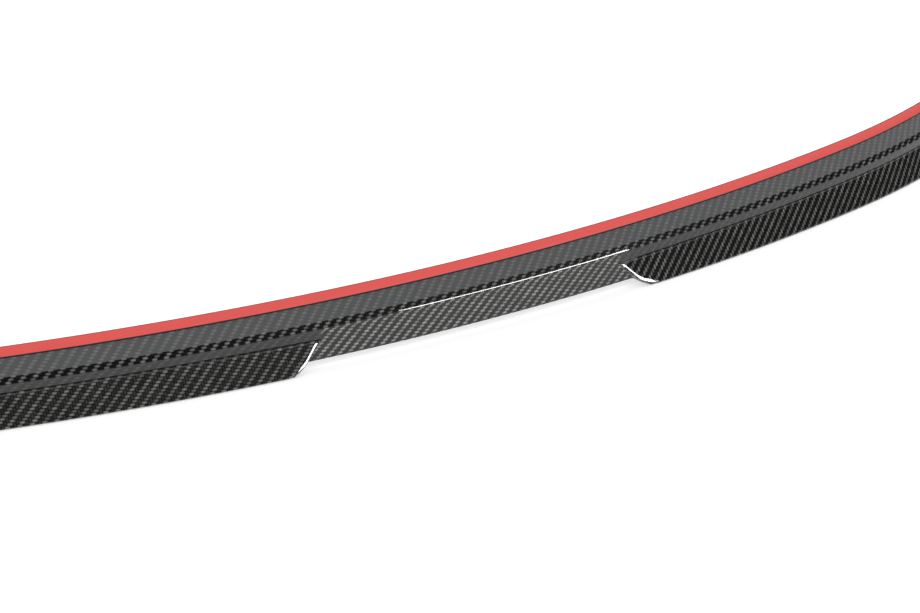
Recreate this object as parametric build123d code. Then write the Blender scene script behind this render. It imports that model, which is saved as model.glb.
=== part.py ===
from build123d import *
import os
from math import asin, cos, degrees, hypot, radians, sin, tan

# A boot-lid lip spoiler, standing on the trailing edges of its two wings.
# X runs along the spoiler, -Y is the side that faces down on the car, and Z is up.
# All sizes are in millimetres and degrees.

# Plan form of the crest line, the edge between the shoulder and the lip
half_length = 610.0
main_radius = 1950.0
end_radius = 800.0
end_start = 430.0

# Laminate section, square to the crest line
wall = 2.5
edge_round = 0.9
flange_slope = 48.0
flange_land = 16.2
shoulder_slope = 69.0
shoulder_width = 6.0
shoulder_radius = 3.0
lip_height = 26.5
crest_radius = 6.0

# Wings, which step out of the lip at a crease
crease_drop = 9.0
crease_radius = 1.0
wing_slope = 65.0
wing_width = 26.7
wing_tip = 145.0
wing_heel = 171.5
wing_corner_radius = 25.0

# Ends of the spoiler, where the trailing edge rises to a rounded tip
end_taper = 90.0
end_rise = 16.0
end_corner_radius = 18.0

# Double-sided tape along the flange, with its release liner
tape_width = 8.0
tape_margin = 1.0
foam_thickness = 1.1
foam_ledge = 0.8
liner_thickness = 0.15
tape_end_gap = 45.0

# A cut passes this far outside an edge that it runs along, so that it never just grazes it
cut_relief = 0.4

# Sections are drawn with their crest at the origin: first axis outwards, second axis up
section_plane = Plane(origin=(0, 0, 0), x_dir=(0, -1, 0), z_dir=(-1, 0, 0))

# Both plan arcs meet at end_start, on one line through their two centres
joint_angle = asin(end_start / main_radius)
main_axis = Axis((0, main_radius, 0), (0, 0, 1))
end_centre_x = (main_radius - end_radius) * sin(joint_angle)
end_centre_y = main_radius - (main_radius - end_radius) * cos(joint_angle)
end_axis = Axis((end_centre_x, end_centre_y, 0), (0, 0, 1))


def main_angle(x):
    """Degrees round the main arc at a distance x from the middle."""
    return degrees(asin(x / main_radius))


def end_angle(x):
    """Degrees round the end arc, from the joint of the arcs, at a distance x from the middle."""
    return degrees(asin((x - end_centre_x) / end_radius) - joint_angle)


def along(start, slope, length):
    """The point at a length from start, up a slope that rises away from the outer side."""
    return (start[0] - length * cos(radians(slope)), start[1] + length * sin(radians(slope)))


def laminate(points, radii):
    """Section of constant wall behind the outer skin that runs through points."""
    skin = FilletPolyline(*points, radius=radii)
    face = make_face(offset(skin, amount=wall, side=Side.RIGHT))
    ends = [skin @ 0, skin @ 1]
    corners = [v for v in face.vertices() if min((Vector(v) - end).length for end in ends) < 1.01 * wall]
    return fillet(corners, min(edge_round, 0.45 * wall))


def turned(section, axis, start, end):
    """A section, drawn at the middle, turned round an axis from a start to an end angle."""
    return revolve(section.rotate(axis, start), axis, end - start)


def run_right(section, start_x, end_x):
    """A section carried along both plan arcs of the right half, from start_x to end_x."""
    placed = section_plane * section
    at_joint = placed.rotate(main_axis, degrees(joint_angle))
    main_run = turned(placed, main_axis, main_angle(start_x), degrees(joint_angle))
    return main_run + turned(at_joint, end_axis, 0, end_angle(end_x))


def both_sides(right):
    """A piece of the right half together with its mirror image."""
    return right + mirror(right, Plane.YZ)


def front_prism(points, rounded=None, radius=0):
    """A block whose outline is drawn from the front, with one corner rounded where it is named."""
    outline = make_face(Polyline(*points, close=True))
    if rounded:
        outline = fillet(outline.vertices().sort_by_distance(rounded)[0], radius)
    return extrude(Plane.XZ * outline, main_radius, both=True)


# Outer skin of the section, from the flange's far edge to the crest, and on to each trailing edge
crest = (0, 0)
shoulder_top = along(crest, shoulder_slope, shoulder_width)
flange_edge = along(shoulder_top, flange_slope, flange_land + tape_width + tape_margin)
flange_skin = [flange_edge, shoulder_top, crest]
lip_edge = (0, -lip_height)
crease = (0, -crease_drop)
wing_edge = along(crease, wing_slope, -wing_width)

lip_section = laminate(flange_skin + [lip_edge], [shoulder_radius, crest_radius])
wing_section = laminate(flange_skin + [crease, wing_edge], [shoulder_radius, crest_radius, crease_radius])
wing_box = wing_section.bounding_box()
lowest = wing_box.min.Y
highest = wing_box.max.Y

# The wing's inner end is trimmed along a slant, from its tip in the crease to its rounded heel
beyond = half_length + 2 * wing_width
above = highest + wall
bend_reach = (crease_radius + wall) * tan(radians(90 - wing_slope) / 2)
tip = (wing_tip, crease[1] + bend_reach)
heel = (wing_heel, lowest - cut_relief)
wing_side = [(wing_tip, above), tip, heel, (beyond, heel[1]), (beyond, above)]
wing_zone = front_prism(wing_side, heel, wing_corner_radius)
wing_start = wing_tip - wing_width
wings = both_sides(run_right(wing_section, wing_start, half_length + wing_width) & wing_zone)

# The middle of the spoiler, where the lip goes straight down to its trailing edge
lip_side = [(0, above), (wing_tip, above), tip, heel, (0, heel[1])]
lip_reach = main_angle(wing_heel + wing_width)
lip_run = turned(section_plane * lip_section, main_axis, 0, lip_reach)
middle = both_sides(lip_run & front_prism(lip_side))

# A web of one wall follows the wing's inner end and closes the step from there back to the lip
half_wall = (wall / 2 * sin(radians(wing_slope)), wall / 2 * cos(radians(wing_slope)))
wing_low = along(wing_edge, wing_slope, wall)
wing_core = (wing_low[0] - half_wall[0], wing_low[1] - half_wall[1])
web_top = [(-wall, crease[1] - wall / 2), (-wall / 2, crease[1])]
web_face = make_face(Polyline(*web_top, wing_core, lip_edge, (-wall, lip_edge[1]), close=True))
web_run = turned(section_plane * web_face, main_axis, main_angle(wing_start), lip_reach)
web_shift = wall * hypot(heel[0] - tip[0], heel[1] - tip[1]) / (tip[1] - heel[1])
webs = both_sides(web_run & (wing_zone - Pos(web_shift, 0, 0) * wing_zone))

# Each end: the trailing edge sweeps up to the tip, and the flange's corner is rounded
end_low = lowest - cut_relief
end_high = highest + cut_relief
sweep_up = TangentArc((half_length - end_taper, end_low), (half_length, lowest + end_rise), tangent=(1, 0))
end_lines = [
    Line((0, end_high), (0, end_low)),
    Line((0, end_low), sweep_up @ 0),
    sweep_up,
    Line(sweep_up @ 1, (half_length, end_high)),
    Line((half_length, end_high), (0, end_high)),
]
end_face = make_face(end_lines)
end_corner = end_face.vertices().sort_by_distance((half_length, end_high))[0]
end_zone = extrude(Plane.XZ * fillet(end_corner, end_corner_radius), main_radius, both=True)

spoiler_body = (wings + middle + webs) & both_sides(end_zone)

# The tape lies on the flange, one margin in from its far edge, and stops short of the ends
flange_normal = (sin(radians(flange_slope)), cos(radians(flange_slope)))


def tape_layer(bottom, thickness, ledge):
    """One layer of the tape at a height above the flange, with a ledge added to its near edge."""
    near = along(shoulder_top, flange_slope, flange_land - ledge)
    far = along(near, flange_slope, tape_width + ledge)
    lift = [bottom, bottom, bottom + thickness, bottom + thickness]
    corners = [
        (point[0] + height * flange_normal[0], point[1] + height * flange_normal[1])
        for point, height in zip([near, far, far, near], lift)
    ]
    return both_sides(run_right(make_face(Polyline(*corners, close=True)), 0, half_length - tape_end_gap))


tape_foam = tape_layer(0, foam_thickness, foam_ledge)
tape_liner = tape_layer(foam_thickness, liner_thickness, 0)

# The origin is on the floor, under the middle of the whole part
pieces = {"spoiler_body": spoiler_body, "tape_foam": tape_foam, "tape_liner": tape_liner}
whole = Compound(list(pieces.values())).bounding_box()
seat = Location((0, -(whole.min.Y + whole.max.Y) / 2, -whole.min.Z))

os.makedirs("parts", exist_ok=True)
for name, piece in pieces.items():
    export_step(seat * piece, f"parts/{name}.step")
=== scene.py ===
"""Looks of a boot-lid lip spoiler: a glossy woven laminate with a strip of mounting tape on its flange.

Sizes are millimetres and degrees; a point becomes metres when its vertex is placed.
A section point is written (outward, up), measured from the crest, the edge above the lip.
"""

from __future__ import annotations

import logging
from dataclasses import dataclass
from enum import Enum
from math import asin, atan2, cos, exp, hypot, pi, radians, sin, sqrt, tan

import bpy
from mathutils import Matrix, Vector


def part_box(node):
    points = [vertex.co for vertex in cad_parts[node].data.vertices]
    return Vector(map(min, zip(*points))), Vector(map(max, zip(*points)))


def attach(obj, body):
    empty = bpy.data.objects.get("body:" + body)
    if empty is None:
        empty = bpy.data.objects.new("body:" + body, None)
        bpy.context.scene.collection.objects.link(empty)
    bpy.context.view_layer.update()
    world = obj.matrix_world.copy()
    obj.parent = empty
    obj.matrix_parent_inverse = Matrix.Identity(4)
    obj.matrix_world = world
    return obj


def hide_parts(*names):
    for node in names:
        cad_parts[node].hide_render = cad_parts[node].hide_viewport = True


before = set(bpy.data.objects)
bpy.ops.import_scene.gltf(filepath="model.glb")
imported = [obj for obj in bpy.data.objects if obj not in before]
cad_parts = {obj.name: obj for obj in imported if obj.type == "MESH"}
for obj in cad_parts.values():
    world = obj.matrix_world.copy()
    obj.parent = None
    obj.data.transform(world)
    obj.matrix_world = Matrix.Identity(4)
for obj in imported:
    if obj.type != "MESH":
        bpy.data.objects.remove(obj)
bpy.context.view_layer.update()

LOG = logging.getLogger("spoiler")
MM = 0.001
WELD = 0.01 * MM
PHOTO_WIDTH = 920
AIM_FROM_APEX = (-17.04, 0.0, -8.71)
Point = tuple[float, float]

# Kinds of node that are used often
MATH = "ShaderNodeMath"
MIX = "ShaderNodeMix"
COLOURS = {"data_type": "RGBA"}
ATTRIBUTE = "ShaderNodeAttribute"
PRINCIPLED = "ShaderNodeBsdfPrincipled"


class Skin(Enum):
    """The two faces of the laminate."""

    FRONT = 0.0
    BACK = 1.0


class TapeLayer(Enum):
    """The two layers of the mounting tape, by the name of their solid."""

    FOAM = "tape_foam"
    LINER = "tape_liner"


def linear(code: str) -> tuple[float, float, float, float]:
    """Turns an sRGB hex colour to linear.

    Args:
        code: six hex digits.

    Returns:
        Linear red, green and blue, and an alpha of one.
    """
    shares = [int(code[i : i + 2], 16) / 255 for i in (0, 2, 4)]
    red, green, blue = [s / 12.92 if s <= 0.04045 else ((s + 0.055) / 1.055) ** 2.4 for s in shares]
    return red, green, blue, 1.0


def add_node(tree: bpy.types.NodeTree, kind: str, settings: dict, inputs: dict) -> bpy.types.Node:
    """Adds a node with its settings, and sets or links its inputs.

    Args:
        tree: the node tree that takes the node.
        kind: the node's type name.
        settings: attributes of the node, by name.
        inputs: by socket name or number, a value to set or a socket to link from.

    Returns:
        The new node.
    """
    node = tree.nodes.new(kind)
    for name, value in settings.items():
        setattr(node, name, value)
    for key, value in inputs.items():
        if isinstance(value, bpy.types.NodeSocket):
            tree.links.new(value, node.inputs[key])
        else:
            node.inputs[key].default_value = value
    return node


def new_material(name: str) -> tuple[bpy.types.Material, bpy.types.NodeTree, bpy.types.Node]:
    """Starts an empty node material.

    Args:
        name: the material's name.

    Returns:
        The material, its node tree and its output node.
    """
    material = bpy.data.materials.new(name)
    material.use_nodes = True
    tree = material.node_tree
    tree.nodes.clear()
    return material, tree, tree.nodes.new("ShaderNodeOutputMaterial")


def only(piece: bpy.types.Object) -> None:
    """Makes one object the only selected and the active one."""
    bpy.ops.object.select_all(action="DESELECT")
    piece.select_set(True)
    bpy.context.view_layer.objects.active = piece


def add_other_half(piece: bpy.types.Object) -> None:
    """Mirrors the active object over the middle of the spoiler and joins both halves."""
    mirror = piece.modifiers.new("other half", "MIRROR")
    mirror.merge_threshold = WELD
    bpy.ops.object.modifier_apply(modifier=mirror.name)


def smooth_share(share: float) -> float:
    """A share from 0 to 1 that starts and ends level."""
    held = min(1.0, max(0.0, share))
    return held * held * (3 - 2 * held)


def along(start: Point, slope: float, length: float) -> Point:
    """The point at a length from start, up a slope that rises away from the outer side.

    Args:
        start: a section point.
        slope: degrees above level.
        length: the distance to go.

    Returns:
        The section point reached.
    """
    return start[0] - length * cos(radians(slope)), start[1] + length * sin(radians(slope))


def rounded_path(corners: list[Point], radii: list[float], arc_steps: int, runs: list[int]) -> list[Point]:
    """Samples a path whose inner corners are rounded.

    Args:
        corners: the corners, ends included.
        radii: the radius at each inner corner.
        arc_steps: parts that each arc is divided into.
        runs: parts that each straight run is divided into.

    Returns:
        The points from the first corner to the last.
    """
    ends: list[tuple[Point, Point]] = [(corners[0], corners[0])]
    arcs: list[list[Point]] = []
    for before, corner, after, radius in zip(corners, corners[1:], corners[2:], radii):
        back = (Vector(before) - Vector(corner)).normalized()
        ahead = (Vector(after) - Vector(corner)).normalized()
        half = back.angle(ahead) / 2
        reach = radius / tan(half)
        centre = Vector(corner) + (back + ahead).normalized() * (radius / sin(half))
        enter = Vector(corner) + back * reach - centre
        leave = Vector(corner) + ahead * reach - centre
        turn = enter.angle_signed(leave)
        spun = []
        for step in range(arc_steps + 1):
            angle = atan2(enter.y, enter.x) - turn * step / arc_steps
            spun.append((centre.x + radius * cos(angle), centre.y + radius * sin(angle)))
        arcs.append(spun)
        ends.append((spun[0], spun[-1]))
    ends.append((corners[-1], corners[-1]))
    points: list[Point] = [corners[0]]
    for index, parts in enumerate(runs):
        start, stop = ends[index][1], ends[index + 1][0]
        for step in range(1, parts + 1):
            share = step / parts
            outward = start[0] + share * (stop[0] - start[0])
            points.append((outward, start[1] + share * (stop[1] - start[1])))
        if index < len(arcs):
            points.extend(arcs[index][1:])
    return points


@dataclass(frozen=True)
class PlanCurve:
    """The crest seen from above: a long middle arc that tightens towards each end."""

    main_radius: float = 1950.0
    end_radius: float = 800.0
    end_start: float = 430.0

    @property
    def joint_angle(self) -> float:
        """Radians round the middle arc to where the end arc starts."""
        return asin(self.end_start / self.main_radius)

    @property
    def end_centre(self) -> Point:
        """Centre of the right end arc, across and behind the crest's apex."""
        gap = self.main_radius - self.end_radius
        return gap * sin(self.joint_angle), self.main_radius - gap * cos(self.joint_angle)

    def depth(self, across: float, outward: float) -> float:
        """How far a point lies behind the crest's apex.

        Args:
            across: distance from the middle of the spoiler.
            outward: distance outside the crest.

        Returns:
            The distance back, along +Y.
        """
        radius = self.main_radius + outward
        if abs(across) <= radius * sin(self.joint_angle):
            return self.main_radius - sqrt(radius**2 - across**2)
        centre_x, centre_y = self.end_centre
        return centre_y - sqrt((self.end_radius + outward) ** 2 - (abs(across) - centre_x) ** 2)


@dataclass(frozen=True)
class Section:
    """The laminate's section, square to the crest."""

    wall: float = 2.5
    flange_slope: float = 48.0
    flange_land: float = 16.2
    shoulder_slope: float = 69.0
    shoulder_width: float = 6.0
    shoulder_radius: float = 3.0
    crest_radius: float = 6.0
    lip_height: float = 27.9
    wing_slope: float = 63.4
    wing_low: float = 32.92
    crease_tip: float = 10.0
    crease_end: float = 7.6
    crease_fade: float = 90.0
    groove_depth: float = 1.2
    groove_width: float = 0.7
    groove_reach: float = 3.0
    tape_width: float = 8.0
    tape_margin: float = 1.0

    @property
    def shoulder_top(self) -> Point:
        """The corner between the flange and the shoulder."""
        return along((0.0, 0.0), self.shoulder_slope, self.shoulder_width)

    @property
    def tape_near(self) -> Point:
        """The flange's point under the tape's near edge."""
        return along(self.shoulder_top, self.flange_slope, self.flange_land)

    @property
    def flange_reach(self) -> float:
        """Width of the flange, from the shoulder to its far edge."""
        return self.flange_land + self.tape_width + self.tape_margin

    @property
    def wing_spread(self) -> float:
        """How far a wing steps out for each millimetre that it goes down."""
        return 1 / tan(radians(self.wing_slope))


@dataclass(frozen=True)
class WingOutline:
    """Front view of a wing: its slanted inner end with a round heel, and the spoiler's rising tip."""

    tip: float = 145.0
    heel: float = 167.6
    heel_radius: float = 32.0
    step_width: float = 4.6
    step_lead: float = 0.92
    end_drop: float = 6.0
    roll_reach: float = 5.0
    roll_depth: float = 0.75
    roll_columns_reach: float = 9.0
    roll_fade: float = 10.0
    roll_limit: float = 0.5
    half_length: float = 610.0
    taper: float = 90.0
    rise: float = 16.4
    corner_radius: float = 18.0

    def inner_end(self, drop: float, start: float, floor: float) -> float:
        """Where the wing begins, at a height.

        Args:
            drop: distance below the crest.
            start: the same at the wing's tip, in the crease.
            floor: the same at the lowest line, which the heel runs into.

        Returns:
            Distance from the middle of the spoiler.
        """
        run, fall = self.heel - self.tip, floor - start
        slant = atan2(fall, run)
        centre_x = self.heel + self.heel_radius * tan(slant / 2)
        below = drop - (floor - self.heel_radius)
        round_start = self.heel_radius * cos(slant)
        if below <= round_start:
            return self.tip + run * max(0.0, drop - start) / fall
        return centre_x - sqrt(max(0.0, self.heel_radius**2 - below**2))

    def roll_off(self, across: float, drop: float, start: float, floor: float) -> float:
        """How far a wing's face falls away next to its inner end and heel.

        Args:
            across: distance from the middle of the spoiler.
            drop: distance below the crest.
            start: the same at the wing's tip, in the crease.
            floor: the same at the lowest line, which the heel runs into.

        Returns:
            The fall of the face, inwards.
        """
        run, fall = self.heel - self.tip, floor - start
        slant = atan2(fall, run)
        aside = self.heel + self.heel_radius * tan(slant / 2) - across
        below = drop - (floor - self.heel_radius)
        turn = atan2(aside, below)
        if turn > slant:
            inset = ((across - self.tip) * fall - (drop - start) * run) / hypot(run, fall)
        elif turn > 0:
            inset = self.heel_radius - hypot(aside, below)
        else:
            inset = floor - drop
        fade = smooth_share(aside / self.roll_fade)
        return self.roll_depth * fade * max(0.0, 1 - max(0.0, inset) / self.roll_reach) ** 2

    def outer_end(self, drop: float, top: float, floor: float) -> float:
        """Where the spoiler ends, at a height.

        Args:
            drop: distance below the crest.
            top: the same at the flange's far edge.
            floor: the same at the lowest line.

        Returns:
            Distance from the middle of the spoiler.
        """
        sweep = (self.taper**2 + self.rise**2) / (2 * self.rise)
        lift = floor - drop
        if lift < self.rise:
            return self.half_length - self.taper + sqrt(max(0.0, sweep**2 - (sweep - lift) ** 2))
        under = drop - top
        if under < self.corner_radius:
            inside = self.corner_radius**2 - (self.corner_radius - max(0.0, under)) ** 2
            return self.half_length - self.corner_radius + sqrt(inside)
        return self.half_length


@dataclass
class SpoilerBody:
    """The laminate: flange, shoulder, lip and two stepped-out wings, formed in one piece."""

    plan: PlanCurve
    section: Section
    wing: WingOutline
    apex: Vector
    middle_columns: int = 40
    step_columns: int = 14
    roll_columns: int = 14
    wing_columns: int = 84
    arc_rows: int = 6
    flange_rows: int = 6
    shoulder_rows: int = 3
    strip_rows: int = 4
    groove_rows: int = 12
    lip_rows: int = 10
    heel_rows: int = 10
    rim_cuts: int = 9
    heel_below: float = 0.2
    least_radius: float = 0.3
    crease_share: float = 1.5
    settle_rounds: int = 3
    sharp_angle: float = 60.0
    rim_power: float = 5.0
    crest_border: float = 0.2
    # Shares of woven colour against the painted sheen, the flat grey painted reflection, above the wings
    # and on the flange.
    strip_painted_sheen: float = 0.75
    flange_weave_vs_sheen: float = 0.22

    @property
    def edge_radius(self) -> float:
        """How far the rim stands out past the skins at every free edge, half the wall."""
        return self.section.wall / 2

    @property
    def lowest(self) -> float:
        """Distance below the crest of the line that the heels and tips run into."""
        return self.section.wing_low + self.heel_below * self.section.wall

    def crease(self, across: float) -> float:
        """Depth of the crease below the crest, a little less towards the ends."""
        section = self.section
        fade = exp(-max(0.0, across - self.wing.tip) / section.crease_fade)
        return section.crease_end + (section.crease_tip - section.crease_end) * fade

    def wing_out(self, drop: float, across: float, skin: Skin) -> float:
        """How far a wing's face lies outside the lip's face.

        Args:
            drop: distance below the crest.
            across: distance from the middle of the spoiler.
            skin: which face of the laminate.

        Returns:
            The distance outwards, less than nothing in the fine groove along the crease.
        """
        section = self.section
        depth = self.crease(across)
        spread = (section.wing_low - section.crease_tip) * section.wing_spread / (section.wing_low - depth)
        if skin is Skin.BACK:
            thicker = section.wall * (1 / sin(radians(section.wing_slope)) - 1)
            return max(0.0, spread * (drop - depth) - thicker)
        past = (drop - depth) / section.groove_width
        return spread * max(0.0, drop - depth) - section.groove_depth * exp(-(past**2))

    def upper_rows(self, skin: Skin) -> list[Point]:
        """Section points of one face from the flange's far edge to the end of the crest's rounding."""
        section = self.section
        flat_reach = section.flange_reach - self.edge_radius
        flange_edge = along(section.shoulder_top, section.flange_slope, flat_reach)
        corners = [flange_edge, section.shoulder_top, (0.0, 0.0), (0.0, -section.lip_height)]
        radii = [section.shoulder_radius, section.crest_radius]
        if skin is Skin.BACK:
            slopes = [section.flange_slope, section.shoulder_slope, 90.0]
            corners = self.set_back(corners, slopes)
            radii = [max(self.least_radius, radius - section.wall) for radius in radii]
        runs = [self.flange_rows, self.shoulder_rows, 0]
        return rounded_path(corners, radii, self.arc_rows, runs)

    def set_back(self, corners: list[Point], slopes: list[float]) -> list[Point]:
        """Moves a run of straight lines one wall inwards.

        Args:
            corners: the lines' corners, ends included.
            slopes: degrees above level of each line.

        Returns:
            The corners of the moved lines.
        """
        wall = self.section.wall
        normals = [(sin(radians(slope)), cos(radians(slope))) for slope in slopes]
        moved = [(corners[0][0] - wall * normals[0][0], corners[0][1] - wall * normals[0][1])]
        for corner, first, second in zip(corners[1:-1], normals, normals[1:]):
            share = wall / (1 + first[0] * second[0] + first[1] * second[1])
            back = (share * (first[0] + second[0]), share * (first[1] + second[1]))
            moved.append((corner[0] - back[0], corner[1] - back[1]))
        moved.append((corners[-1][0] - wall * normals[-1][0], corners[-1][1] - wall * normals[-1][1]))
        return moved

    def column_shares(self) -> list[tuple[str, float]]:
        """The right half's columns: the stretch each lies in, and its share of that stretch."""
        shares = [("middle", index / self.middle_columns) for index in range(self.middle_columns)]
        shares += [("step", index / self.step_columns) for index in range(self.step_columns)]
        shares += [("roll", index / self.roll_columns) for index in range(self.roll_columns)]
        return shares + [("wing", index / self.wing_columns) for index in range(self.wing_columns + 1)]

    def across(self, stretch: str, share: float, drop: float, top: float, skin: Skin) -> float:
        """Distance of a column from the middle of the spoiler, at a height.

        Args:
            stretch: "middle", "step", "roll" or "wing".
            share: how far along that stretch the column lies.
            drop: distance below the crest.
            top: the same at the flange's far edge.
            skin: which face of the laminate.

        Returns:
            The distance to the right.
        """
        wing = self.wing
        start = self.crease(wing.tip)
        slant = hypot(wing.heel - wing.tip, self.lowest - start) / (self.lowest - start)
        begin = wing.inner_end(drop, start, self.lowest) - wing.step_width * wing.step_lead
        if skin is Skin.BACK:
            begin += self.section.wall * slant
        end = wing.outer_end(drop, top, self.lowest) - self.edge_radius
        if stretch == "middle":
            return share * begin
        if stretch == "step":
            return begin + share * wing.step_width
        begin += wing.step_width
        if stretch == "roll":
            return begin + share * wing.roll_columns_reach
        begin += wing.roll_columns_reach
        return begin + share * (end - begin)

    def place(self, across: float, outward: float, up: float) -> Vector:
        """A point of the spoiler, in metres."""
        behind = self.plan.depth(across, outward)
        return self.apex + Vector((across, behind, up)) * MM

    def sheet(self, skin: Skin, low: bool) -> bpy.types.Object:
        """Shapes one grid of the right half.

        Args:
            skin: which face of the laminate.
            low: the wing below the lip's edge, or else all that is above it.

        Returns:
            The new object.
        """
        columns = self.column_shares()
        if low:
            columns = columns[self.middle_columns + self.step_columns // 2 :]
        rows = self.low_rows(skin) if low else self.high_rows(skin)
        bpy.ops.object.select_all(action="DESELECT")
        bpy.ops.mesh.primitive_grid_add(
            x_subdivisions=len(columns) - 1, y_subdivisions=len(rows) - 1, size=1
        )
        piece = bpy.context.object
        mesh = piece.data
        # Point values for the finish: the cloth's run, the woven colour's share against the painted sheen,
        # the painted shade on the glints, the wing, and the rim's side.
        names = ("cloth_run", "weave_vs_painted_sheen", "painted_glint_shade", "on_wing", "rim_side")
        for name in names:
            mesh.attributes.new(name, "FLOAT", "POINT")
        cloth, clear, glint_shade, wing, side = [mesh.attributes[name] for name in names]
        for vertex in mesh.vertices:
            column = columns[round((vertex.co.x + 0.5) * (len(columns) - 1))]
            row = rows[round((0.5 - vertex.co.y) * (len(rows) - 1))]
            vertex.co, run, weave_vs_sheen_share, stepped = self.grid_point(row, column, skin)
            cloth.data[vertex.index].value = run
            clear.data[vertex.index].value = weave_vs_sheen_share
            wing.data[vertex.index].value = stepped if row[2] > self.crease_share else 0.0
            glint_shade.data[vertex.index].value = self.glint_shade_share(row, stepped)
            side.data[vertex.index].value = skin.value
        return piece

    def high_rows(self, skin: Skin) -> list[tuple[float, float, float]]:
        """Rows above the lip's edge.

        Args:
            skin: which face of the laminate.

        Returns:
            For each row its outward and up places at the lip, and a share that is 0 down to the crest,
            1 to 2 across the groove of the crease, and 3 at the lip's edge.
        """
        upper = self.upper_rows(skin)
        shares = [step / self.strip_rows for step in range(1, self.strip_rows + 1)]
        shares += [1 + step / self.groove_rows for step in range(1, self.groove_rows + 1)]
        shares += [2 + step / self.lip_rows for step in range(1, self.lip_rows + 1)]
        return [(outward, up, 0.0) for outward, up in upper] + [(*upper[-1], share) for share in shares]

    def low_rows(self, skin: Skin) -> list[tuple[float, float, float]]:
        """Rows of the wing below the lip's edge, with shares from 3 to 4 at the wing's own edge."""
        end = self.upper_rows(skin)[-1]
        return [(*end, 3 + step / self.heel_rows) for step in range(self.heel_rows + 1)]

    def row_drop(self, row: tuple[float, float, float], across: float, skin: Skin) -> float:
        """How far below the crest a row runs.

        Args:
            row: outward, up and share, as high_rows gives them.
            across: distance from the middle of the spoiler.
            skin: which face of the laminate.

        Returns:
            The distance below the crest.
        """
        section = self.section
        slope = radians(section.wing_slope)
        depth = self.crease(across)
        wing_end = section.wing_low - self.edge_radius * sin(slope)
        if skin is Skin.BACK:
            wing_end += section.wall * cos(slope)
        half = section.groove_reach * section.groove_width
        stops = [-row[1], depth - half, depth + half, section.lip_height - self.edge_radius, wing_end]
        stretch = min(3, int(row[2]))
        return stops[stretch] + (row[2] - stretch) * (stops[stretch + 1] - stops[stretch])

    def grid_point(
        self, row: tuple[float, float, float], column: tuple[str, float], skin: Skin
    ) -> tuple[Vector, float, float, float]:
        """Place of one grid vertex.

        Args:
            row: outward, up and share, as high_rows gives them.
            column: stretch and share, as column_shares gives them.
            skin: which face of the laminate.

        Returns:
            The point in metres, how far down the cloth it lies, what share of the woven colour shows there
            against the flat grey painted sheen, and whether it lies on a wing.
        """
        section = self.section
        outward, up, share = row
        top = -along(section.shoulder_top, section.flange_slope, section.flange_reach)[1]
        drop = self.row_drop(row, self.wing.tip, skin)
        for _ in range(self.settle_rounds):
            across = self.across(*column, drop, top, skin)
            drop = self.row_drop(row, across, skin)
        inner = self.across("step", 0.0, drop, top, skin)
        stepped = smooth_share((across - inner) / self.wing.step_width)
        face = self.wing_out(drop, across, skin) if share > 0 else 0.0
        step = face
        if share > 3:
            step += (share - 3) * (self.wing.end_drop - face)
        if share > 1 and skin is Skin.FRONT:
            fall = self.wing.roll_off(across, drop, self.crease(self.wing.tip), self.lowest)
            face -= min(fall, self.wing.roll_limit * max(0.0, face)) * stepped
        run = drop if share > 0 else -hypot(outward, up)
        stretch = 1 / sin(radians(section.wing_slope)) - 1
        run += stretch * stepped * max(0.0, drop - self.crease(across))
        place = self.place(across, outward + face - step * (1 - stepped), -drop)
        return place, run, self.weave_vs_sheen_share(share, up, stepped), stepped

    def weave_vs_sheen_share(self, share: float, up: float, stepped: float) -> float:
        """How much of the woven colour shows against the painted sheen, a flat grey painted reflection:
        little on the flange and above the wings.

        Args:
            share: the row's share, as high_rows gives it.
            up: the row's height above the crest.
            stepped: 0 on the lip and 1 on a wing.

        Returns:
            The woven colour's share; the rest is painted sheen.
        """
        if share > 0 or up < self.crest_border:
            return 1.0 if share > self.crease_share else 1.0 - self.strip_painted_sheen * stepped
        return self.flange_weave_vs_sheen if up > self.section.shoulder_top[1] else 1.0

    def glint_shade_share(self, row: tuple[float, float, float], stepped: float) -> float:
        """How much the painted glints and the painted sheen are darkened by painted shade: on the shoulder,
        on the wings and above them.

        Args:
            row: outward, up and share, as high_rows gives them.
            stepped: 0 on the lip and 1 on a wing.

        Returns:
            The painted shade, as a share of the finish's own.
        """
        if row[2] > 0 or row[1] < self.crest_border:
            return stepped
        return 0.0 if row[1] > self.section.shoulder_top[1] else 1.0

    def build(self) -> bpy.types.Object:
        """Models the laminate as two skins that are mirrored, joined and closed by a round rim.

        Returns:
            The finished object.
        """
        sheets = [self.sheet(skin, low) for skin in Skin for low in (False, True)]
        bpy.ops.object.select_all(action="DESELECT")
        for sheet in sheets:
            sheet.select_set(True)
        body = sheets[0]
        bpy.context.view_layer.objects.active = body
        bpy.ops.object.join()
        only(body)
        add_other_half(body)
        bpy.ops.object.mode_set(mode="EDIT")
        bpy.ops.mesh.select_mode(type="EDGE")
        bpy.ops.mesh.select_all(action="SELECT")
        bpy.ops.mesh.remove_doubles(threshold=WELD)
        bpy.ops.mesh.select_all(action="DESELECT")
        bpy.ops.mesh.select_non_manifold(extend=False)
        bpy.ops.mesh.bridge_edge_loops(number_cuts=self.rim_cuts, interpolation="LINEAR")
        bpy.ops.mesh.select_all(action="SELECT")
        bpy.ops.mesh.normals_make_consistent(inside=False)
        bpy.ops.object.mode_set(mode="OBJECT")
        self.round_rim(body)
        bpy.ops.object.shade_smooth_by_angle(angle=radians(self.sharp_angle))
        even = body.modifiers.new("flat faces stay flat", "WEIGHTED_NORMAL")
        even.keep_sharp = True
        bpy.ops.object.modifier_apply(modifier=even.name)
        body.name = "woven_laminate"
        body.data.name = body.name
        return body

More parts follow.
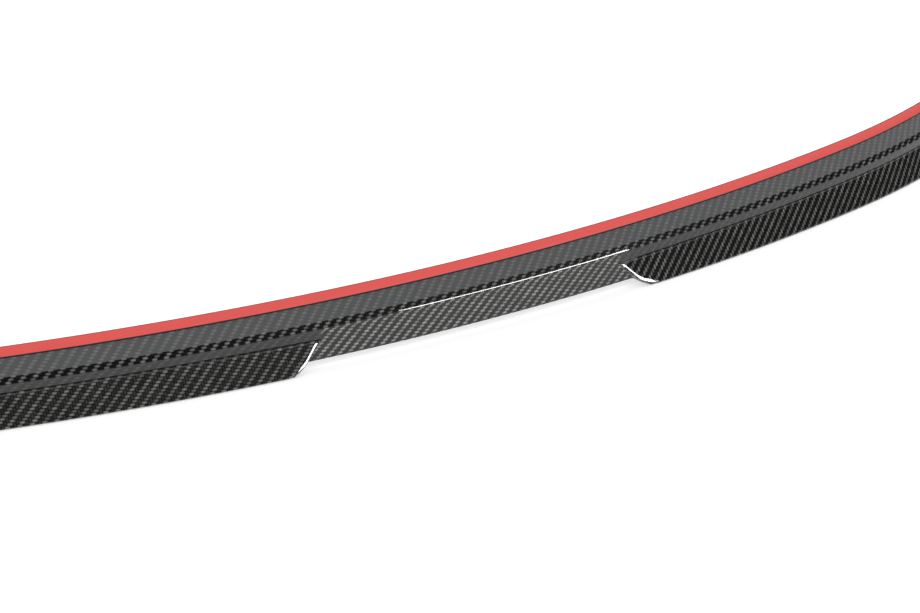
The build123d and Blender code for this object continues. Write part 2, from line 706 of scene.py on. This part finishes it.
    def round_rim(self, body: bpy.types.Object) -> None:
        """Swells the flat rim to a full, rounded edge.

        Args:
            body: the joined laminate, whose rim rows lie between the values of its two skins.
        """
        sides = body.data.attributes["rim_side"].data
        normals = [Vector(normal.vector) for normal in body.data.vertex_normals]
        for vertex in body.data.vertices:
            place = sides[vertex.index].value
            fullness = max(0.0, 1 - abs(1 - 2 * place) ** self.rim_power) ** (1 / self.rim_power)
            vertex.co += normals[vertex.index] * self.edge_radius * fullness * MM

    def dress(self, body: bpy.types.Object, finish: CarbonTwill) -> None:
        """Gives the laminate its finish and its place in the frame."""
        body.data.materials.append(finish.material())
        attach(body, "root")
        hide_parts("spoiler_body")


@dataclass
class MountingTape:
    """The strip of foam tape on the flange, under its red release liner."""

    plan: PlanCurve
    section: Section
    apex: Vector
    half_length: float = 565.0
    foam_thickness: float = 1.1
    foam_ledge: float = 0.8
    liner_thickness: float = 0.15
    main_steps: int = 60
    end_steps: int = 20
    edge_share: float = 0.3
    edge_segments: int = 2
    sharp_angle: float = 40.0

    def corners(self, layer: TapeLayer) -> list[Point]:
        """The four section points of one layer."""
        section = self.section
        slope = radians(section.flange_slope)
        near = section.tape_near
        far = along(near, section.flange_slope, section.tape_width)
        bottom, top = 0.0, self.foam_thickness
        if layer is TapeLayer.LINER:
            bottom, top = top, top + self.liner_thickness
        else:
            near = along(near, section.flange_slope, -self.foam_ledge)
        placed = zip([near, far, far, near], [bottom, bottom, top, top])
        return [(point[0] + lift * sin(slope), point[1] + lift * cos(slope)) for point, lift in placed]

    def build(self, layer: TapeLayer) -> bpy.types.Object:
        """Spins one layer's section round both arcs of the plan curve and mirrors it.

        Args:
            layer: the foam or the liner.

        Returns:
            The finished object.
        """
        bpy.ops.object.select_all(action="DESELECT")
        bpy.ops.mesh.primitive_plane_add(size=1)
        strip = bpy.context.object
        for vertex, point in zip((strip.data.vertices[i] for i in (0, 1, 3, 2)), self.corners(layer)):
            vertex.co = self.apex + Vector((0, -point[0], point[1])) * MM
        plan = self.plan
        centre_x, centre_y = plan.end_centre
        end_turn = asin((self.half_length - centre_x) / plan.end_radius) - plan.joint_angle
        only(strip)
        bpy.ops.object.mode_set(mode="EDIT")
        bpy.ops.mesh.select_mode(type="FACE")
        bpy.ops.mesh.select_all(action="SELECT")
        bpy.ops.mesh.spin(
            steps=self.main_steps,
            angle=plan.joint_angle,
            center=self.apex + Vector((0, plan.main_radius, 0)) * MM,
            axis=(0, 0, -1),
        )
        bpy.ops.mesh.spin(
            steps=self.end_steps,
            angle=end_turn,
            center=self.apex + Vector((centre_x, centre_y, 0)) * MM,
            axis=(0, 0, -1),
        )
        bpy.ops.object.mode_set(mode="OBJECT")
        self.open_middle(strip)
        add_other_half(strip)
        bpy.ops.object.mode_set(mode="EDIT")
        bpy.ops.mesh.select_all(action="SELECT")
        bpy.ops.mesh.remove_doubles(threshold=WELD)
        bpy.ops.mesh.normals_make_consistent(inside=False)
        bpy.ops.object.mode_set(mode="OBJECT")
        bevel = strip.modifiers.new("soft edges", "BEVEL")
        thickness = self.liner_thickness if layer is TapeLayer.LINER else self.foam_thickness
        bevel.width = self.edge_share * thickness * MM
        bevel.segments = self.edge_segments
        bpy.ops.object.modifier_apply(modifier=bevel.name)
        bpy.ops.object.shade_smooth_by_angle(angle=radians(self.sharp_angle))
        return strip

    def open_middle(self, strip: bpy.types.Object) -> None:
        """Deletes the face that the spin began from, so that the mirrored halves join."""
        bpy.ops.object.mode_set(mode="EDIT")
        bpy.ops.mesh.select_all(action="DESELECT")
        bpy.ops.object.mode_set(mode="OBJECT")
        for face in strip.data.polygons:
            face.select = abs(face.center.x) < WELD
        bpy.ops.object.mode_set(mode="EDIT")
        bpy.ops.mesh.delete(type="FACE")
        bpy.ops.object.mode_set(mode="OBJECT")

    def dress(self, strip: bpy.types.Object, layer: TapeLayer, finish: FoamTape | ReleaseLiner) -> None:
        """Gives one layer its name, its finish and its place in the frame."""
        strip.name = "foam_strip" if layer is TapeLayer.FOAM else "red_liner"
        strip.data.name = strip.name
        strip.data.materials.append(finish.material())
        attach(strip, "root")
        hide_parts(layer.value)


@dataclass(frozen=True)
class CarbonTwill:
    """Two-by-two carbon twill under a polished clear coat.

    Black tows lie over and under each other in pairs, so the eye sees short glints on slanting lines,
    deep under a glass-like gloss. The glints are painted highlights in the base colour: each float's crown
    is painted lighter, on the right wing the tows across the cloth are painted glinting, and the glints
    are painted darker on the shoulder and the wings.
    """

    tow: float = 2.4
    float_cells: float = 2.0
    dark: str = "060606"
    # Painted reflection: flat grey sheen that stands in for the clear coat's reflection of the bright
    # surroundings.
    painted_sheen: str = "474849"
    # Painted highlight: the crown colour of the tows that glint.
    glint: str = "979794"
    # Crown colour of the tows that do not glint, a faint painted highlight over the black.
    weft: str = "1f1f1f"
    tow_roughness: float = 0.45
    tow_gloss: float = 0.03
    tow_relief: float = 0.12
    relief_strength: float = 0.5
    fullness: float = 0.7
    unevenness: float = 0.7
    # Painted glint: the share that the other tows get on the wings.
    cross_glint: float = 0.18
    # Painted shade: how much darker the painted glints are on the shoulder, the wings and above them.
    glint_shade_strength: float = 0.48
    # Painted shade: how far the painted sheen goes towards black where the glints are painted darker.
    painted_sheen_shade: float = 0.65
    coat_roughness: float = 0.03
    coat_ior: float = 1.5

    def material(self) -> bpy.types.Material:
        """Makes the material.

        Returns:
            The woven and coated material.
        """
        made, tree, out = new_material("carbon_twill_clear_coated")
        place = add_node(tree, "ShaderNodeTexCoord", {}, {})
        split = add_node(tree, "ShaderNodeSeparateXYZ", {}, {0: place.outputs["Object"]})
        run = add_node(tree, ATTRIBUTE, {"attribute_name": "cloth_run"}, {})
        scales = [(split.outputs["X"], 1 / (self.tow * MM)), (run.outputs["Fac"], 1 / self.tow)]
        cells, parts = [], []
        for socket, scale in scales:
            count = add_node(tree, MATH, {"operation": "MULTIPLY"}, {0: socket, 1: scale})
            for found, operation in ((cells, "FLOOR"), (parts, "FRACT")):
                node = add_node(tree, MATH, {"operation": operation}, {0: count.outputs[0]})
                found.append(node.outputs[0])
        total = add_node(tree, MATH, {"operation": "ADD"}, {0: cells[0], 1: cells[1]})
        phase = add_node(
            tree, MATH, {"operation": "FLOORED_MODULO"}, {0: total.outputs[0], 1: 2 * self.float_cells}
        )
        warp_up = add_node(
            tree, MATH, {"operation": "LESS_THAN"}, {0: phase.outputs[0], 1: self.float_cells - 0.5}
        )
        warp = self.float_height(tree, phase.outputs[0], parts[0], parts[1], 0.0)
        weft = self.float_height(tree, phase.outputs[0], parts[1], parts[0], -self.float_cells)
        height = add_node(tree, MIX, {"data_type": "FLOAT"}, {0: warp_up.outputs[0], 2: weft, 3: warp})
        # Painted highlight: each float's crown is painted lighter from its height, some floats more than
        # others.
        shown = self.uneven(tree, cells, phase.outputs[0], warp_up.outputs[0], height.outputs[0])
        # Share of woven colour against the painted sheen.
        clear = add_node(tree, ATTRIBUTE, {"attribute_name": "weave_vs_painted_sheen"}, {})
        wing = add_node(tree, ATTRIBUTE, {"attribute_name": "on_wing"}, {})
        # Painted glint direction: on the right wing the tows across the cloth are painted glinting instead
        # of those along it, and on both wings the other tows get a share of painted glint.
        right = add_node(tree, MATH, {"operation": "GREATER_THAN"}, {0: split.outputs["X"], 1: 0.0})
        turned = add_node(
            tree, MATH, {"operation": "MULTIPLY"}, {0: right.outputs[0], 1: wing.outputs["Fac"]}
        )
        apart = add_node(
            tree, MATH, {"operation": "SUBTRACT"}, {0: warp_up.outputs[0], 1: turned.outputs[0]}
        )
        one_way = add_node(tree, MATH, {"operation": "ABSOLUTE"}, {0: apart.outputs[0]})
        both_ways = add_node(
            tree, MATH, {"operation": "MULTIPLY"}, {0: wing.outputs["Fac"], 1: self.cross_glint}
        )
        straight = add_node(
            tree, MATH, {"operation": "SUBTRACT"}, {0: both_ways.outputs[0], 1: turned.outputs[0]}
        )
        lead = add_node(
            tree, MATH, {"operation": "MAXIMUM"}, {0: one_way.outputs[0], 1: straight.outputs[0]}
        )
        # Painted highlight colour of each tow's crown.
        bright = add_node(
            tree, MIX, COLOURS, {0: lead.outputs[0], 6: linear(self.weft), 7: linear(self.glint)}
        )
        # Painted shade: the painted glints are darker on the shoulder, the wings and above them.
        painted_shade = add_node(tree, ATTRIBUTE, {"attribute_name": "painted_glint_shade"}, {})
        kept = add_node(
            tree, MATH, {"operation": "MULTIPLY_ADD"}, {0: painted_shade.outputs["Fac"], 1: -self.glint_shade_strength, 2: 1.0}
        )
        shaded_glint = add_node(tree, MATH, {"operation": "MULTIPLY"}, {0: shown, 1: kept.outputs[0]})
        woven = add_node(
            tree, MIX, COLOURS, {0: shaded_glint.outputs[0], 6: linear(self.dark), 7: bright.outputs[2]}
        )
        # Painted shade on the painted sheen, where the glints are painted darker.
        loss = add_node(
            tree, MATH, {"operation": "MULTIPLY"}, {0: painted_shade.outputs["Fac"], 1: self.painted_sheen_shade}
        )
        painted_sheen = add_node(
            tree, MIX, COLOURS, {0: loss.outputs[0], 6: linear(self.painted_sheen), 7: linear(self.dark)}
        )
        # Painted reflection: where little weave shows, the colour is the flat grey painted sheen.
        colour = add_node(
            tree, MIX, COLOURS, {0: clear.outputs["Fac"], 6: painted_sheen.outputs[2], 7: woven.outputs[2]}
        )
        relief = add_node(
            tree,
            "ShaderNodeBump",
            {},
            {
                "Strength": self.relief_strength,
                "Distance": self.tow_relief * MM,
                "Height": height.outputs[0],
            },
        )
        shader = add_node(
            tree,
            PRINCIPLED,
            {},
            {
                "Base Color": colour.outputs[2],
                "Roughness": self.tow_roughness,
                "Specular IOR Level": self.tow_gloss,
                "Normal": relief.outputs[0],
                "Coat Weight": 1.0,
                "Coat Roughness": self.coat_roughness,
                "Coat IOR": self.coat_ior,
            },
        )
        tree.links.new(shader.outputs[0], out.inputs["Surface"])
        return made

    def uneven(
        self,
        tree: bpy.types.NodeTree,
        cells: list[bpy.types.NodeSocket],
        phase: bpy.types.NodeSocket,
        warp_up: bpy.types.NodeSocket,
        height: bpy.types.NodeSocket,
    ) -> bpy.types.NodeSocket:
        """Makes some floats catch more light than others.

        Args:
            tree: the material's nodes.
            cells: which cell of the cloth a point lies in, along and down.
            phase: which of the four steps of the twill that cell is.
            warp_up: 1 where the tow along the cloth is on top.
            height: the height of the tow on top.

        Returns:
            The share of light that the tow sends back.
        """
        along_it = add_node(tree, MATH, {"operation": "MULTIPLY"}, {0: phase, 1: warp_up})
        down_it = add_node(tree, MATH, {"operation": "SUBTRACT"}, {0: phase, 1: along_it.outputs[0]})
        firsts = [
            add_node(tree, MATH, {"operation": "SUBTRACT"}, {0: cell, 1: past.outputs[0]})
            for cell, past in zip(cells, (along_it, down_it))
        ]
        starts = {axis: first.outputs[0] for axis, first in enumerate(firsts)}
        name = add_node(tree, "ShaderNodeCombineXYZ", {}, starts)
        chance = add_node(tree, "ShaderNodeTexWhiteNoise", {}, {"Vector": name.outputs[0]})
        gain = add_node(
            tree,
            MATH,
            {"operation": "MULTIPLY_ADD"},
            {0: chance.outputs["Value"], 1: self.unevenness, 2: 1 - self.unevenness / 2},
        )
        light = add_node(tree, MATH, {"operation": "MULTIPLY"}, {0: height, 1: gain.outputs[0]})
        return light.outputs[0]

    def float_height(
        self,
        tree: bpy.types.NodeTree,
        phase: bpy.types.NodeSocket,
        lengthwise: bpy.types.NodeSocket,
        crosswise: bpy.types.NodeSocket,
        shift: float,
    ) -> bpy.types.NodeSocket:
        """Height of a tow that floats over two others: crowned along its float and across its width.

        Args:
            tree: the material's nodes.
            phase: which of the four steps of the twill a cell is.
            lengthwise: place within the cell along the tow.
            crosswise: place within the cell across the tow.
            shift: what brings the float's first cell to zero.

        Returns:
            The height from 0 to 1, right only where this tow is on top.
        """
        cell = add_node(tree, MATH, {"operation": "ADD"}, {0: phase, 1: shift})
        place = add_node(tree, MATH, {"operation": "ADD"}, {0: cell.outputs[0], 1: lengthwise})
        half_wave = {0: place.outputs[0], 1: pi / self.float_cells}
        turn = add_node(tree, MATH, {"operation": "MULTIPLY"}, half_wave)
        crown = add_node(tree, MATH, {"operation": "SINE"}, {0: turn.outputs[0]})
        round_turn = add_node(tree, MATH, {"operation": "MULTIPLY"}, {0: crosswise, 1: pi})
        width = add_node(tree, MATH, {"operation": "SINE"}, {0: round_turn.outputs[0]})
        both = {0: crown.outputs[0], 1: width.outputs[0]}
        product = add_node(tree, MATH, {"operation": "MULTIPLY", "use_clamp": True}, both)
        full = {0: product.outputs[0], 1: self.fullness}
        return add_node(tree, MATH, {"operation": "POWER"}, full).outputs[0]


@dataclass(frozen=True)
class FoamTape:
    """Closed-cell acrylic foam: dull black, with fine cells on its cut edge."""

    colour: str = "0e0e0f"
    cell: float = 0.4
    cell_relief: float = 0.1
    relief_strength: float = 0.4
    roughness: float = 0.85

    def material(self) -> bpy.types.Material:
        """Makes the material."""
        made, tree, out = new_material("black_acrylic_foam")
        place = add_node(tree, "ShaderNodeTexCoord", {}, {})
        cells = add_node(
            tree,
            "ShaderNodeTexVoronoi",
            {},
            {"Vector": place.outputs["Object"], "Scale": 1 / (self.cell * MM)},
        )
        relief = add_node(
            tree,
            "ShaderNodeBump",
            {},
            {
                "Strength": self.relief_strength,
                "Distance": self.cell_relief * MM,
                "Height": cells.outputs["Distance"],
            },
        )
        shader = add_node(
            tree,
            PRINCIPLED,
            {},
            {"Base Color": linear(self.colour), "Roughness": self.roughness, "Normal": relief.outputs[0]},
        )
        tree.links.new(shader.outputs[0], out.inputs["Surface"])
        return made


@dataclass(frozen=True)
class ReleaseLiner:
    """Red polyethylene film: a satin sheet with the faint streaks of its rollers along it."""

    colour: str = "e64f49"
    streaked: str = "dc4945"
    streak: float = 1.6
    streak_squeeze: float = 0.06
    streak_detail: float = 2.0
    roughness: float = 0.42

    def material(self) -> bpy.types.Material:
        """Makes the material."""
        made, tree, out = new_material("red_polyethylene_film")
        place = add_node(tree, "ShaderNodeTexCoord", {}, {})
        stretch = add_node(
            tree,
            "ShaderNodeMapping",
            {},
            {"Vector": place.outputs["Object"], "Scale": (self.streak_squeeze, 1.0, 1.0)},
        )
        streaks = add_node(
            tree,
            "ShaderNodeTexNoise",
            {},
            {
                "Vector": stretch.outputs[0],
                "Scale": 1 / (self.streak * MM),
                "Detail": self.streak_detail,
            },
        )
        colour = add_node(
            tree, MIX, COLOURS, {0: streaks.outputs[0], 6: linear(self.colour), 7: linear(self.streaked)}
        )
        shader = add_node(
            tree, PRINCIPLED, {}, {"Base Color": colour.outputs[2], "Roughness": self.roughness}
        )
        tree.links.new(shader.outputs[0], out.inputs["Surface"])
        return made


@dataclass(frozen=True)
class StudioFloor:
    """White matt sweep: it shows as white to the eye and in the gloss, and keeps a soft shadow."""

    colour: str = "f4f4f4"
    own_light: float = 0.32
    roughness: float = 0.9

    def material(self) -> bpy.types.Material:
        """Makes the material."""
        made, tree, out = new_material("white_studio_sweep")
        path = add_node(tree, "ShaderNodeLightPath", {}, {})
        seen = path.outputs["Is Camera Ray"]
        for name in ("Is Glossy Ray", "Is Transmission Ray"):
            either = add_node(tree, MATH, {"operation": "MAXIMUM"}, {0: seen, 1: path.outputs[name]})
            seen = either.outputs[0]
        glow = add_node(tree, MATH, {"operation": "MULTIPLY"}, {0: seen, 1: self.own_light})
        shader = add_node(
            tree,
            PRINCIPLED,
            {},
            {
                "Base Color": linear(self.colour),
                "Roughness": self.roughness,
                "Specular IOR Level": 0.0,
                "Emission Color": (1.0, 1.0, 1.0, 1.0),
                "Emission Strength": glow.outputs[0],
            },
        )
        tree.links.new(shader.outputs[0], out.inputs["Surface"])
        return made


@dataclass
class Studio:
    """White floor and surroundings, a dark card and apron in front, a low key light and the camera."""

    aim: Vector
    azimuth: float = -29.39
    elevation: float = 27.0
    distance: float = 2200.0
    focal_pixels: float = 2640.0
    clip: tuple[float, float] = (0.05, 100.0)
    floor_size: float = 40.0
    key_azimuth: float = 29.5
    key_elevation: float = 4.7
    key_distance: float = 3.0
    key_size: tuple[float, float] = (1.1, 0.44)
    key_power: float = 56.0
    card_elevations: tuple[float, float] = (0.0, 32.0)
    card_azimuths: tuple[float, float] = (-75.0, 110.0)
    card_distance: float = 3.4
    card_columns: int = 24
    card_colour: str = "202020"
    card_roughness: float = 0.9
    card_fall: float = 14.0
    card_fall_start: float = 40.0
    card_fall_span: float = 40.0
    apron_near: float = 0.24
    apron_lift: float = 2.0
    surround: float = 1.0

    def direction(self, azimuth: float, elevation: float) -> Vector:
        """Unit vector from the object towards an azimuth, from the front, and an elevation."""
        turn, lift = radians(azimuth), radians(elevation)
        return Vector((sin(turn) * cos(lift), -cos(turn) * cos(lift), sin(lift)))

    def build_floor(self) -> None:
        """Lays the floor under the part."""
        bpy.ops.object.select_all(action="DESELECT")
        bpy.ops.mesh.primitive_plane_add(size=self.floor_size)
        floor = bpy.context.object
        floor.name = "studio_floor"
        floor.data.materials.append(StudioFloor().material())

    def build_card(self) -> None:
        """Stands a dark curved card in front, which the upright faces reflect."""
        bpy.ops.object.select_all(action="DESELECT")
        bpy.ops.mesh.primitive_grid_add(x_subdivisions=self.card_columns, y_subdivisions=1, size=1)
        card = bpy.context.object
        card.name = "dark_card"
        for vertex in card.data.vertices:
            share_x, share_y = vertex.co.x + 0.5, vertex.co.y + 0.5
            azimuth = self.card_azimuths[0] + share_x * (self.card_azimuths[1] - self.card_azimuths[0])
            bottom, top = self.card_elevations
            top -= self.card_fall * smooth_share((azimuth - self.card_fall_start) / self.card_fall_span)
            elevation = bottom + share_y * (top - bottom)
            vertex.co = self.direction(azimuth, elevation) * self.card_distance
        self.dull(card)

    def build_apron(self) -> None:
        """Lays a dark sheet on the floor in front, which the foot of the crest's rounding reflects."""
        bpy.ops.object.select_all(action="DESELECT")
        bpy.ops.mesh.primitive_plane_add(size=1)
        apron = bpy.context.object
        apron.name = "dark_apron"
        for vertex in apron.data.vertices:
            nearness = 0.5 - vertex.co.y
            depth = self.apron_near + nearness * (self.card_distance - self.apron_near)
            vertex.co = Vector((2 * vertex.co.x * self.card_distance, -depth, self.apron_lift * MM))
        self.dull(apron)

    def dull(self, card: bpy.types.Object) -> None:
        """Makes a stage piece dark, and seen by nothing but the gloss."""
        made, tree, out = new_material("black_studio_card")
        shader = add_node(
            tree, PRINCIPLED, {}, {"Base Color": linear(self.card_colour), "Roughness": self.card_roughness}
        )
        tree.links.new(shader.outputs[0], out.inputs["Surface"])
        card.data.materials.append(made)
        card.visible_camera = False
        card.visible_shadow = False
        card.visible_diffuse = False

    def build_key(self) -> None:
        """Hangs the low key light, which only the gloss shows, along the crest and the wing ends."""
        bpy.ops.object.select_all(action="DESELECT")
        towards = self.direction(self.key_azimuth, self.key_elevation)
        bpy.ops.object.light_add(type="AREA", location=towards * self.key_distance)
        key = bpy.context.object
        key.name = "key_light"
        key.data.shape = "RECTANGLE"
        key.data.size, key.data.size_y = self.key_size
        key.data.energy = self.key_power
        key.rotation_mode = "QUATERNION"
        key.rotation_quaternion = (-towards).to_track_quat("-Z", "Y")
        key.visible_camera = False
        key.visible_diffuse = False

    def build_world(self) -> None:
        """Surrounds everything with even white light."""
        world = bpy.data.worlds.new("white_surround")
        world.use_nodes = True
        world.node_tree.nodes["Background"].inputs["Color"].default_value = (1.0, 1.0, 1.0, 1.0)
        world.node_tree.nodes["Background"].inputs["Strength"].default_value = self.surround
        bpy.context.scene.world = world

    def build_camera(self) -> None:
        """Sets the camera at the photograph's viewing angle and framing."""
        back = self.direction(self.azimuth, self.elevation)
        bpy.ops.object.select_all(action="DESELECT")
        bpy.ops.object.camera_add(location=self.aim + back * self.distance * MM)
        camera = bpy.context.object
        camera.name = "photo_camera"
        camera.rotation_mode = "QUATERNION"
        camera.rotation_quaternion = (-back).to_track_quat("-Z", "Y")
        camera.data.sensor_fit = "HORIZONTAL"
        camera.data.lens = camera.data.sensor_width * self.focal_pixels / PHOTO_WIDTH
        camera.data.clip_start, camera.data.clip_end = self.clip
        bpy.context.scene.camera = camera

    def build(self) -> None:
        """Builds the floor, the card, the apron, the lights and the camera."""
        self.build_floor()
        self.build_card()
        self.build_apron()
        self.build_key()
        self.build_world()
        self.build_camera()
        bpy.context.scene.view_settings.view_transform = "Standard"


def crest_apex(section: Section, tape: MountingTape) -> Vector:
    """Finds the middle of the crest from the foam tape's box in the frame.

    Args:
        section: the laminate's section, not used.
        tape: the tape, whose near corner is the box's front and lowest edge.

    Returns:
        The point in metres.
    """
    low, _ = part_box(TapeLayer.FOAM.value)
    outermost = max(point[0] for point in tape.corners(TapeLayer.FOAM))
    lowest = min(point[1] for point in tape.corners(TapeLayer.FOAM))
    return Vector((0.0, low.y + outermost * MM, low.z - lowest * MM))


def main() -> None:
    """Builds and dresses every piece, then the studio round them."""
    logging.basicConfig(level=logging.INFO)
    plan, section = PlanCurve(), Section()
    tape = MountingTape(plan, section, Vector())
    tape.apex = crest_apex(section, tape)
    laminate = SpoilerBody(plan, section, WingOutline(), tape.apex)
    body = laminate.build()
    laminate.dress(body, CarbonTwill())
    LOG.info("%s has %d faces", body.name, len(body.data.polygons))
    finishes = {TapeLayer.FOAM: FoamTape(), TapeLayer.LINER: ReleaseLiner()}
    for layer, finish in finishes.items():
        strip = tape.build(layer)
        tape.dress(strip, layer, finish)
        LOG.info("%s has %d faces", strip.name, len(strip.data.polygons))
    aim = tape.apex + Vector(AIM_FROM_APEX) * MM
    Studio(aim).build()


if __name__ == "__main__":
    main()
